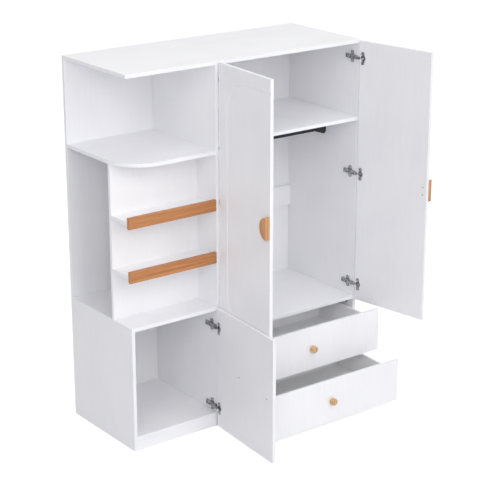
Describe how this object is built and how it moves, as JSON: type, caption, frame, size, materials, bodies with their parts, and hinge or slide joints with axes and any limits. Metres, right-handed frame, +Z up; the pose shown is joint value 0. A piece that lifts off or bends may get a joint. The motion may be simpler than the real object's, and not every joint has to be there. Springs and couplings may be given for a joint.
{
  "type": "wardrobe",
  "caption": "White melamine wardrobe: hanging space with doors over drawers, open display tower with round-cornered shelf and book ledges over a low cabinet with a door.",
  "frame": {"origin": "on the floor under the middle of the centre divider, half way front to back of the carcass", "axes": "+X to the right seen from the front, the front faces -Y, +Z up"},
  "size_m": [1.2807, 0.9212, 1.6],
  "materials": {
    "white_board": "satin white melamine on particle board",
    "drawer_board": "matt white foil on drawer boards",
    "strip_wood": "orange-brown wood with fine straight grain, satin lacquer",
    "handle_wood": "satin lacquered beech grip",
    "knob_wood": "light turned beech, satin",
    "nickel": "nickel-plated stamped steel",
    "black_metal": "satin black paint on steel",
    "white_enamel": "white stoved enamel on roller runners"
  },
  "bodies": {
    "carcass": {"back_batten": "white_board", "base_rail": "white_board", "cabinet_floor": "white_board", "cabinet_kick": "white_board", "cabinet_side": "white_board", "cabinet_top": "white_board", "centre_divider": "white_board", "hanging_floor": "white_board", "hanging_rail": "black_metal", "inner_shelf": "white_board", "ledge_lower": "white_board", "ledge_strip_lower": "strip_wood", "ledge_strip_upper": "strip_wood", "ledge_upper": "white_board", "left_back_panel": "white_board", "left_door_arm_1": "nickel", "left_door_arm_2": "nickel", "left_door_arm_3": "nickel", "low_door_arm_1": "nickel", "low_door_arm_2": "nickel", "partition": "white_board", "rail_socket_left": "black_metal", "rail_socket_right": "black_metal", "right_back_panel": "white_board", "right_door_arm_1": "nickel", "right_door_arm_2": "nickel", "right_door_arm_3": "nickel", "right_side_panel": "white_board", "round_shelf": "white_board", "runner_lower_left": "white_enamel", "runner_lower_right": "white_enamel", "runner_upper_left": "white_enamel", "runner_upper_right": "white_enamel", "top_panel": "white_board"},
    "left_door": {"left_door": "white_board", "left_door_cup_1": "nickel", "left_door_cup_2": "nickel", "left_door_cup_3": "nickel", "left_door_handle": "handle_wood"},
    "right_door": {"right_door": "white_board", "right_door_cup_1": "nickel", "right_door_cup_2": "nickel", "right_door_cup_3": "nickel", "right_door_handle": "handle_wood"},
    "low_door": {"low_door": "white_board", "low_door_cup_1": "nickel", "low_door_cup_2": "nickel", "low_door_knob": "knob_wood"},
    "drawer_lower": {"drawer_lower_back": "drawer_board", "drawer_lower_bottom": "drawer_board", "drawer_lower_front": "white_board", "drawer_lower_knob": "knob_wood", "drawer_lower_side_left": "drawer_board", "drawer_lower_side_right": "drawer_board"},
    "drawer_upper": {"drawer_upper_back": "drawer_board", "drawer_upper_bottom": "drawer_board", "drawer_upper_front": "white_board", "drawer_upper_knob": "knob_wood", "drawer_upper_side_left": "drawer_board", "drawer_upper_side_right": "drawer_board"}
  },
  "joints": [
    {"name": "left_door_swing", "type": "hinge", "parent": "carcass", "child": "left_door", "pos_m": [0.00475, -0.2535, 0], "axis": [0, 0, 1], "range_deg": [0, 94.5]},
    {"name": "right_door_swing", "type": "hinge", "parent": "carcass", "child": "right_door", "pos_m": [0.7605, -0.2535, 0], "axis": [0, 0, 1], "range_deg": [-99.5, 10]},
    {"name": "low_door_swing", "type": "hinge", "parent": "carcass", "child": "low_door", "pos_m": [-0.00475, -0.2535, 0], "axis": [0, 0, 1], "range_deg": [-85.5, 0]},
    {"name": "drawer_lower_slide", "type": "slide", "parent": "carcass", "child": "drawer_lower", "axis": [0, 1, 0], "range_m": [-0.008, 0.282]},
    {"name": "drawer_upper_slide", "type": "slide", "parent": "carcass", "child": "drawer_upper", "axis": [0, 1, 0], "range_m": [-0.145, 0.145]}
  ]
}
